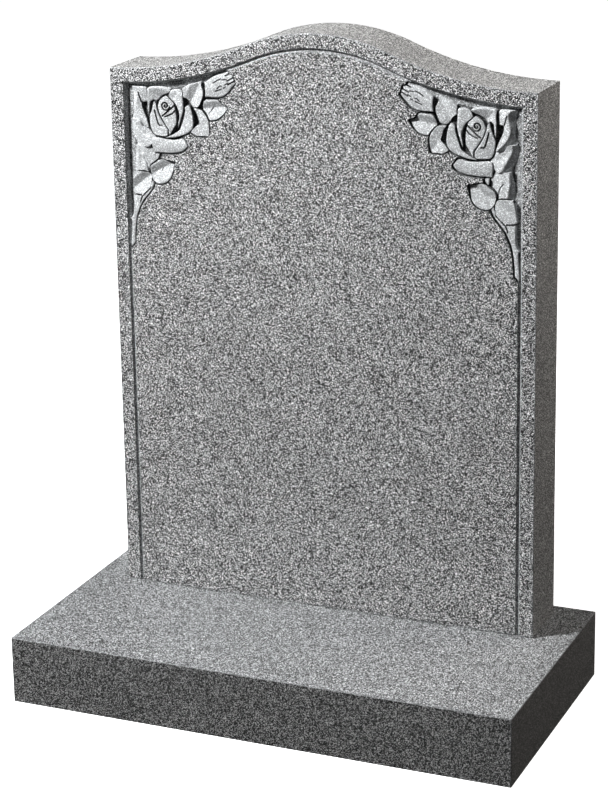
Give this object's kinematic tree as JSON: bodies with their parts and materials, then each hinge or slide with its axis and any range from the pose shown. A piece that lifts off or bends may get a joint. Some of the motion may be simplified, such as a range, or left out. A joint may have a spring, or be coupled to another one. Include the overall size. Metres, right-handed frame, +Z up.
{
  "type": "headstone",
  "caption": "Grey granite lawn headstone: ogee-topped upright tablet with a V-cut border and a rose spray carved in each upper corner, standing on a plain rectangular plinth.",
  "frame": {"origin": "on the ground, under the middle of the plinth", "axes": "+Z up, +X along the face towards the viewer's right, -Y out of the carved face"},
  "size_m": [0.61, 0.315, 0.7673],
  "materials": {
    "tablet_granite": "fine-grained grey granite, face polished, carving left matt and paler",
    "plinth_granite": "fine-grained grey granite, honed"
  },
  "bodies": {
    "root": {"tablet": "tablet_granite", "plinth": "plinth_granite"}
  },
  "joints": []
}
